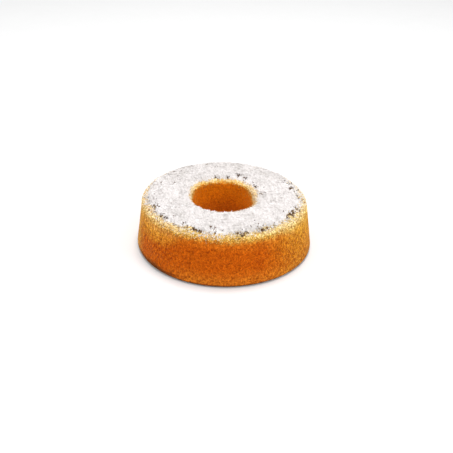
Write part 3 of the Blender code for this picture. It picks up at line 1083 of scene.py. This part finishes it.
def sponge_material():
    """Fine-grained golden crust: paler open crumb at the shoulder, deep orange below, dark foot."""
    s = Sketch("baked_crust")
    patches, mottle = s.grain(*PATCHES), s.grain(*MOTTLE)
    crumb, fine, streaks = s.grain(*CRUMB), s.grain(*FINE), s.grain(*STREAKS)
    pores = s.spots(PORE_SPACING)
    sway = s.plus(s.sway(mottle, MOTTLE_SWAY), s.sway(patches, PATCH_SWAY))
    level = s.plus(s.plus(s.z, pale_dip(s)), sway)
    calm = s.band(s.from_axis(), *CALM_HOLE)
    side = rough_sides(s, level)
    roughness = s.plus(s.greater(side, s.band(level, *ROUGH_FOOT)), ROUGH_ANYWHERE)
    in_hole = s.band(s.from_axis(), *HOLE_RADII)
    colour = s.mix(in_hole, wall_colour(s, level), hole_colour(s, level))
    colour = pitted(s, colour, crumb, pores, s.times(roughness, calm))
    colour = streaked(s, colour, streaks, s.times(s.plus(side, STREAKS_ANYWHERE), calm))
    colour = s.mix(calm, colour, grained(s, colour, fine, mottle))
    colour = browned_and_shaded(s, colour)
    # Burnt crust and painted contact shadow at the foot.
    colour = s.mix(burnt_and_shaded_foot(s, mottle, patches), colour, BURNT_AND_SHADED_FOOT)
    s.set(s.shader, "Sheen Weight", s.band(s.x, *SHEEN_WEIGHT))
    s.set(s.shader, "Sheen Roughness", 0.2)
    s.set(s.shader, "Sheen Tint", SHEEN)
    relief = s.minus(s.plus(crumb, fine), s.band(pores, *PORE_RELIEF))
    relief = s.plus(relief, s.times(streaks, s.plus(side, STREAK_RELIEF)))
    s.bump(relief, 0.7 * MM, 0.9)
    return s.finish(colour, roughness=0.9, specular=0.05)


def coconut_material():
    """Dry grated coconut: off-white, each shred a shade of its own, and creamy below the top."""
    s = Sketch("grated_coconut")
    shade = s.times(s.value("tint"), COCONUT_TINT)
    for grain, reach in COCONUT_NOISES:
        shade = s.plus(shade, s.sway(s.grain(*grain), reach))
    # Painted shade greys the coconut towards the back; at the edge it greys where it lies thinner.
    thinner_edge_and_shaded_back = s.plus(s.band(s.y, *SHADED_BACK), s.band(s.from_axis(), *THINNER_EDGE))
    shaded = s.band(s.minus(shade, thinner_edge_and_shaded_back), *COCONUT_SHADES)
    colour = s.mix(shaded, COCONUT_WHITE, COCONUT_SHADE)
    height = s.plus(s.z, s.times(s.x, math.tan(TOP_SLOPE)))
    colour = s.mix(s.band(height, *CREAM_HEIGHTS), colour, COCONUT_CREAM)
    s.bump(s.grain(1.3 * MM, 4.0, 0.7), 0.5 * MM, 0.8)
    return s.finish(colour, roughness=0.6, specular=0.3)


def crumb_material():
    """Crumbs of the sponge, each a shade lighter or darker than the crust at its height."""
    s = Sketch("sponge_crumbs")
    tint = s.value("tint")
    dip = s.minus(pale_dip(s), s.band(s.from_axis(), *CRUMB_RIM_LIFT))
    sway = s.times(s.minus(tint, CRUMB_TINT_MIDDLE), CRUMB_TINT_SWAY)
    colour = outside_colour(s, s.plus(s.plus(s.z, dip), sway))
    # The rim's dark front on the crumbs too: browned crust with painted shade.
    colour = s.mix(front_rim(s), colour, RIM_BROWN_AND_SHADE)
    colour = s.scale(colour, s.band(tint, *CRUMB_SHADES))
    colour = s.scale(colour, s.band(s.grain(2 * MM), *CRUMB_MOTTLE))
    s.bump(s.grain(0.5 * MM, 3.0), 0.2 * MM, 0.7)
    return s.finish(colour, roughness=0.85, specular=0.1)


def dark_fleck_material():
    """Dark flecks among the coconut, dark to mid brown."""
    s = Sketch("dark_flecks")
    colour = s.mix(s.value("tint"), FLECK_DARK, FLECK_PALE)
    colour = s.scale(colour, s.band(s.grain(0.8 * MM), *FLECK_MOTTLE))
    s.bump(s.grain(0.4 * MM), 0.15 * MM, 0.6)
    return s.finish(colour, roughness=0.8, specular=0.1)


def floor_material():
    """A plain pale floor with the faintest mottling."""
    s = Sketch("pale_floor")
    return s.finish(s.mix(s.grain(60 * MM), FLOOR_GREY, FLOOR_PALE), roughness=0.9, specular=0.1)


def dress(piece, material):
    """Give a piece its material, attach it to the body it rides on, and hide the solid it replaces."""
    piece.data.materials.append(material)
    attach(piece, BODY)
    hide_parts(SOLID)


def surface_of(*pieces):
    """The pieces' surfaces together, for laying things on."""
    points, faces = [], []
    for piece in pieces:
        start = len(points)
        points += [tuple(vert.co) for vert in piece.data.vertices]
        faces += [tuple(start + k for k in face.vertices) for face in piece.data.polygons]
    return BVHTree.FromPolygons(points, faces)


# The camera, a little tilted, and the soft lights as (name, place, power).
CAMERA_LENS = 55.6
CAMERA_ELEVATION = math.radians(30.08)
CAMERA_ROLL = math.radians(1.13)
CAMERA_DISTANCE = 0.970
CAMERA_TARGET = Vector((0.0034, 0, 0.0206))
LIGHTS = (
    ("overhead", (0.1, 0.4, 2.5), 38),
    ("right_fill", (1.5, -0.9, 1.0), 9),
    ("left_fill", (-1.5, -0.6, 0.9), 4),
)


def add_camera():
    """The camera at the photograph's angle, looking along +Y and down."""
    back = Vector((0, -math.cos(CAMERA_ELEVATION), math.sin(CAMERA_ELEVATION)))
    across = Vector((1, 0, 0))
    up = back.cross(across)
    right = math.cos(CAMERA_ROLL) * across + math.sin(CAMERA_ROLL) * up
    above = -math.sin(CAMERA_ROLL) * across + math.cos(CAMERA_ROLL) * up
    data = bpy.data.cameras.new("camera")
    data.lens = CAMERA_LENS
    data.sensor_width = 36
    camera = bpy.data.objects.new("camera", data)
    turn = Matrix((right, above, back)).transposed().to_4x4()
    camera.matrix_world = Matrix.Translation(CAMERA_TARGET + back * CAMERA_DISTANCE) @ turn
    bpy.context.scene.collection.objects.link(camera)
    bpy.context.scene.camera = camera


def add_light(name, place, power):
    """A square soft light that faces the cake."""
    data = bpy.data.lights.new(name, "AREA")
    data.size = 0.8
    data.energy = power
    light = bpy.data.objects.new(name, data)
    aim = Vector((0, 0, CRUST_HEIGHT / 2)) - Vector(place)
    light.rotation_euler = aim.to_track_quat("-Z", "Y").to_euler()
    light.location = place
    bpy.context.scene.collection.objects.link(light)


def add_studio():
    """A pale floor, a white surround, and soft lights above and at both sides."""
    bpy.ops.mesh.primitive_plane_add(size=8)
    floor = bpy.context.active_object
    floor.name = "floor"
    floor.data.materials.append(floor_material())
    world = bpy.data.worlds.new("surround")
    world.use_nodes = True
    background = world.node_tree.nodes["Background"]
    background.inputs["Color"].default_value = (1, 1, 1, 1)
    background.inputs["Strength"].default_value = 0.73
    bpy.context.scene.world = world
    for light in LIGHTS:
        add_light(*light)
    bpy.context.scene.view_settings.view_transform = "Standard"
    bpy.context.scene.view_settings.look = "None"


def main():
    """Build the sponge and its bed, scatter the loose pieces, dress them all, and set the scene."""
    crust, coconut, crumb = sponge_material(), coconut_material(), crumb_material()
    fleck_finish = dark_fleck_material()
    sponge = build_sponge()
    bed = build_bed(surface_of(sponge))
    top = surface_of(sponge, bed)
    grains = scatter_strips(
        "coconut_grains", top, lambda places: coconut_chance(places, 0.45), count=15800,
        length=mm(0.8, 1.9), width=mm(0.5, 1.0), thickness=mm(0.4, 0.7),
        tilt=0.5, lift=mm(0.0, 0.4), sections=2, seed=1,
    )
    flakes = scatter_strips(
        "coconut_flakes", top, lambda places: coconut_chance(places, 0.25), count=9800,
        length=mm(1.7, 3.4), width=mm(0.7, 1.2), thickness=mm(0.25, 0.5),
        tilt=0.35, lift=mm(0.1, 0.7), sections=3, seed=2,
    )
    shreds = scatter_strips(
        "coconut_shreds", top, lambda places: coconut_chance(places, 0.12), count=4400,
        length=mm(3.2, 6.0), width=mm(0.6, 1.0), thickness=mm(0.3, 0.5),
        tilt=0.22, lift=mm(0.2, 0.9), sections=4, seed=3,
    )
    flecks = scatter_strips(
        "dark_flecks", top, fleck_chance, count=8000,
        length=mm(1.6, 3.8), width=mm(1.0, 1.8), thickness=mm(0.4, 0.8),
        tilt=0.35, lift=mm(0.4, 1.1), sections=3, seed=6,
    )
    crumbs = scatter_crumbs("shoulder_crumbs", top, count=5500, sizes=mm(0.5, 1.3), fall=15 * MM, seed=4)
    dust = scatter_crumbs("coconut_dust", top, count=300, sizes=mm(0.5, 1.1), fall=8 * MM, seed=5)
    dress(sponge, crust)
    for piece in (bed, grains, flakes, shreds, dust):
        dress(piece, coconut)
    dress(crumbs, crumb)
    dress(flecks, fleck_finish)
    add_studio()
    add_camera()


main()
